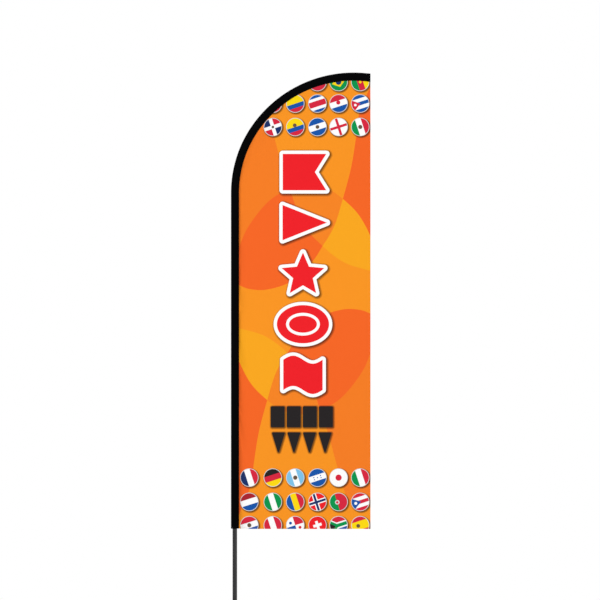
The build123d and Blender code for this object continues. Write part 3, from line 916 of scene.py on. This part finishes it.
def stitch_places(path, outs):
    """Centre, direction and outward direction of each stitch along a path of points."""
    path, outs = np.array(path, float), np.array(outs, float)
    runs = np.concatenate([[0], np.cumsum(np.linalg.norm(np.diff(path, axis=0), axis=1))])
    middles = np.arange(STITCH_PITCH / 2, runs[-1], STITCH_PITCH)

    def along(values, where):
        return np.stack([np.interp(where, runs, values[:, k]) for k in range(3)], axis=1)
    centre = along(path, middles)
    heading = along(path, middles + STITCH_LENGTH / 4) - along(path, middles - STITCH_LENGTH / 4)
    heading /= np.linalg.norm(heading, axis=1, keepdims=True)
    out = along(outs, middles)
    return centre, heading, out / np.linalg.norm(out, axis=1, keepdims=True)


def sewn(name, rows, material):
    """All rows of stitches of one thread, each stitch a short pointed grain."""
    points, faces = [], []
    corners = ((0, 2), (2, 1), (1, 3), (3, 0))
    for path, outs in rows:
        for centre, heading, out in zip(*stitch_places(path, outs)):
            side = np.cross(heading, out)
            first = len(points)
            points += [centre - heading * STITCH_LENGTH / 2, centre + heading * STITCH_LENGTH / 2,
                       centre + side * STITCH_HALF_WIDTH, centre - side * STITCH_HALF_WIDTH,
                       centre + out * STITCH_HALF_WIDTH, centre - out * STITCH_HALF_WIDTH]
            for a, b in corners:
                faces.append([first + b, first + a, first + 4])
                faces.append([first + a, first + b, first + 5])
    thing = new_object(name, points, faces, [material])
    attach(thing, "flag_top")
    return thing


def panel_rows(panel):
    """The rows along the fly and bottom hems, on both faces."""
    row = HEM_WIDTH - ROW_INSET
    fly = np.arange(BOTTOM_Z + 2 * MM, float(panel_top(FLY_X - row)), ROW_STEP)
    foot = np.arange(SEAM_X + 1 * MM, FLY_X - 2 * MM, ROW_STEP)
    rows = []
    for x, z in ((np.full_like(fly, FLY_X - row), fly), (foot, np.full_like(foot, BOTTOM_Z + row))):
        for side in (-1, 1):
            y = panel.face_y(x, z, side) + side * STITCH_HALF_WIDTH * 0.3
            rows.append((np.stack([x, y, z], axis=1), panel.normals(x, z, side)))
    return rows


def sleeve_rows():
    """Two rows along the seam, one round the mouth's hem, and two across the end patch."""
    rows = []
    for from_seam in SEAM_ROWS:
        inset = SLEEVE_WIDTH - from_seam
        for side in (-1, 1):
            path = []
            for station in stations(ROW_STEP):
                x, z = sleeve_point(station, inset)
                path.append((x, side * half_depth(station, inset / SLEEVE_WIDTH, side), z))
            rows.append((path, [(0, side, 0)] * len(path)))
    mouth = section((0, (MOUTH_HEM_HEIGHT - ROW_INSET) / STRAIGHT_LENGTH), 0)
    half = len(mouth) // 2 + 1
    outs = [(b[1] - a[1], a[0] - b[0], 0) for a, b in zip(mouth[-1:] + mouth[:-1],
                                                          mouth[1:] + mouth[:1])]
    rows.append((mouth[half + 1:] + mouth[:half - 1], outs[half + 1:] + outs[:half - 1]))
    for from_end in (ROW_INSET, PATCH_LENGTH - 3 * MM):
        loop = section((2, 1 - from_end / UPPER_LENGTH), -PATCH_WALL - HEM_GAP)
        rows.append((loop[1:half - 1], [(0, -1, 0)] * (half - 2)))
        rows.append((loop[half + 1:], [(0, 1, 0)] * len(loop[half + 1:])))
    return rows


def thread_material(name, rgb):
    """Twisted polyester thread."""
    material, tree, shader = new_material(name, linear(rgb), 0.5, specular=0.3, sheen=0.05)
    twist = grain(tree, 900, (1, 1, 1), 2.0)
    tree.links.new(spread(tree, twist, 0.4, 0.62), shader.inputs["Roughness"])
    tree.links.new(bump(tree, twist, 0.4, 0.1 * MM), shader.inputs["Normal"])
    return material


# ======== finishes of the frame's nodes
# slot: darker and lighter colour, roughness range, metallic, coat, grain scale and stretch, bump
FINISHES = {
    "spike_steel": ((24, 24, 26), (46, 46, 48), (0.42, 0.62), 0.0, 0.0, 700, (1, 1, 1), 0.3),
    "weld": ((58, 56, 54), (92, 88, 84), (0.4, 0.6), 0.8, 0.0, 500, (1, 1, 3), 0.6),
    "zinc_steel": ((176, 180, 186), (212, 215, 219), (0.22, 0.4), 1.0, 0.0, 420, (1, 1, 1), 0.1),
    "bearing_steel": ((196, 199, 204), (226, 228, 231), (0.08, 0.18), 1.0, 0.0, 900,
                      (1, 1, 12), 0.05),
    "brass_cage": ((176, 136, 66), (214, 176, 98), (0.22, 0.36), 1.0, 0.0, 700, (1, 1, 1), 0.1),
    "spindle_steel": ((156, 159, 164), (198, 201, 205), (0.24, 0.42), 1.0, 0.0, 500,
                      (0.3, 0.3, 14), 0.25),
    "pole_black": ((12, 12, 14), (24, 24, 26), (0.2, 0.32), 0.0, 0.0, 620, (1, 1, 0.03), 0.12),
    "ferrule_metal": ((52, 53, 56), (78, 79, 83), (0.26, 0.4), 0.85, 0.0, 700, (0.3, 0.3, 12), 0.2),
    "spring_steel": ((150, 150, 154), (190, 190, 194), (0.2, 0.34), 1.0, 0.0, 800,
                     (1, 1, 0.1), 0.1),
    "rod_fibre": ((20, 20, 22), (44, 44, 47), (0.18, 0.34), 0.0, 0.4, 1200, (0.5, 1, 0.5), 0.1),
    "black_rubber": ((16, 16, 16), (30, 30, 30), (0.68, 0.86), 0.0, 0.0, 900, (1, 1, 1), 0.35),
    "black_plastic": ((22, 22, 24), (36, 36, 38), (0.42, 0.56), 0.0, 0.0, 1300, (1, 1, 1), 0.2),
}
BUMP_DEPTH = 0.08 * MM
SPIKE_BARE = (150, 148, 144)
BARE_TOP_Z = -0.30  # height below which the spike's paint starts to wear


def node_finish(slot):
    """A finish with colour variation, uneven gloss and a fine surface."""
    dark, light, rough, metal, coat, scale, stretch, strength = FINISHES[slot]
    material, tree, shader = new_material(slot + "_finish", linear(light), rough[1], metal,
                                          coat=coat)
    fine = grain(tree, scale, stretch)
    broad = grain(tree, 14, (1, 1, 0.4), 3.0)
    colour = blend_colours(tree, spread(tree, broad, 0, 1, 0.35, 0.65), linear(dark),
                           linear(light))
    tree.links.new(colour, shader.inputs["Base Color"])
    tree.links.new(spread(tree, fine, *rough), shader.inputs["Roughness"])
    tree.links.new(bump(tree, fine, strength, BUMP_DEPTH), shader.inputs["Normal"])
    return material, tree, shader, colour


def add_bare_point(tree, shader, colour):
    """Paint rubbed off to bare steel towards the spike's point, in uneven patches."""
    place = add_node(tree, "TexCoord").outputs["Object"]
    height = add_node(tree, "SeparateXYZ", Vector=place).outputs["Z"]
    worn = spread(tree, height, 1.0, 0.0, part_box("spike_rod")[0].z, BARE_TOP_Z)
    patches = calculated(tree, "ADD", worn, grain(tree, 90, (1, 1, 0.3), 6.0))
    mask = spread(tree, patches, 0, 1, 1.18, 1.26)
    bare = blend_colours(tree, mask, colour, linear(SPIKE_BARE))
    tree.links.new(bare, shader.inputs["Base Color"])
    tree.links.new(mask, shader.inputs["Metallic"])


def finish_nodes():
    """Each of the frame's nodes that stays gets its slot's finish."""
    made = {}
    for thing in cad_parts.values():
        for place in thing.material_slots:
            slot = place.material.name
            if slot not in FINISHES:
                continue
            if slot not in made:
                made[slot], tree, shader, colour = node_finish(slot)
                if slot == "spike_steel":
                    add_bare_point(tree, shader, colour)
            place.material = made[slot]


def spring_leaf():
    """The button's leaf spring, as a copy of the frame's node, which is hidden."""
    leaf = add_object("spring_leaf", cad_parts["button_spring"].data.copy())
    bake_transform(leaf)
    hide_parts("button_spring")


# ======== studio
VIEW_WIDTH = 3.271  # metres across the picture at the flag
LENS, SENSOR = 135, 36  # millimetres
CAMERA_SHIFT = (-0.0036, 0.0029)
FLOOR_RADIUS = 5.5
POINT_IN_FLOOR = 15 * MM
WORLD_LIGHT = 0.72  # strength
LAMP_AIM = (0.36, 0, 1.9)
# place, width, height and watts
LAMPS = {"key": ((-1.9, -5.6, 3.2), 1.0, 3.8, 90), "fill": ((3.8, -4.6, 1.4), 2.5, 3.0, 35),
         "back": ((2.4, 5.4, 3.4), 2.0, 3.6, 100)}


def studio_light(name, place, width, height, watts):
    """A soft panel light; it doesn't show itself to the camera."""
    light = bpy.data.lights.new(name, "AREA")
    light.shape = "RECTANGLE"
    light.size, light.size_y, light.energy = width, height, watts
    lamp = add_object(name, light)
    lamp.location = place
    lamp.rotation_euler = (Vector(LAMP_AIM) - Vector(place)).to_track_quat("-Z", "Y").to_euler()
    lamp.visible_camera = False


def make_world():
    """White to the camera, and a little dimmer as light, so that the lamps shape the folds."""
    world = bpy.data.worlds.new("studio")
    world.use_nodes = True
    tree = world.node_tree
    tree.nodes.clear()
    light, seen = (add_node(tree, "Background", Color=(1, 1, 1, 1), Strength=strength)
                   for strength in (WORLD_LIGHT, 1))
    camera_ray = add_node(tree, "LightPath").outputs["Is Camera Ray"]
    mix = add_node(tree, "MixShader", Fac=camera_ray)
    tree.links.new(light.outputs[0], mix.inputs[1])
    tree.links.new(seen.outputs[0], mix.inputs[2])
    tree.links.new(mix.outputs[0], add_node(tree, "OutputWorld").inputs["Surface"])
    bpy.context.scene.world = world


def make_floor():
    """A pale round floor that the spike's point stands in."""
    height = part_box("spike_rod")[0].z + POINT_IN_FLOOR
    points = [(x, y, height) for x, y in ellipse(0, 0, FLOOR_RADIUS, count=96)]
    floor_material, tree, shader = new_material("floor_pale", (0.8, 0.8, 0.79, 1), 0.8,
                                                specular=0.2)
    tree.links.new(spread(tree, grain(tree, 5), 0.7, 0.9), shader.inputs["Roughness"])
    floor = new_object("floor", points, [list(range(len(points)))], [floor_material],
                       smooth=False)


def make_camera():
    centre = Vector(((OUTER_X + FLY_X) / 2, 0, (BOTTOM_Z + CROWN_Z) / 2))
    data = bpy.data.cameras.new("camera")
    data.lens, data.sensor_width = LENS, SENSOR
    data.clip_end = 100
    camera = add_object("camera", data)
    distance = VIEW_WIDTH * LENS / SENSOR
    camera.location = centre + Vector((CAMERA_SHIFT[0], -distance, CAMERA_SHIFT[1]))
    camera.rotation_euler = (pi / 2, 0, 0)
    bpy.context.scene.camera = camera


def make_studio():
    make_world()
    for name, lamp in LAMPS.items():
        studio_light(name, *lamp)
    make_floor()
    make_camera()
    bpy.context.scene.view_settings.view_transform = "Standard"


# ======== the flag
make_studio()
finish_nodes()
spring_leaf()
hung = Panel()
printed, printed_area = make_panel(hung)
sleeve, mouth_hem, end_patch = sleeve_pieces()
panel_thread = sewn("panel_stitching", panel_rows(hung),
                    thread_material("thread_orange", THREAD_ORANGE))
sleeve_thread = sewn("sleeve_stitching", sleeve_rows(),
                     thread_material("thread_black", THREAD_BLACK))

sleeve_cut()
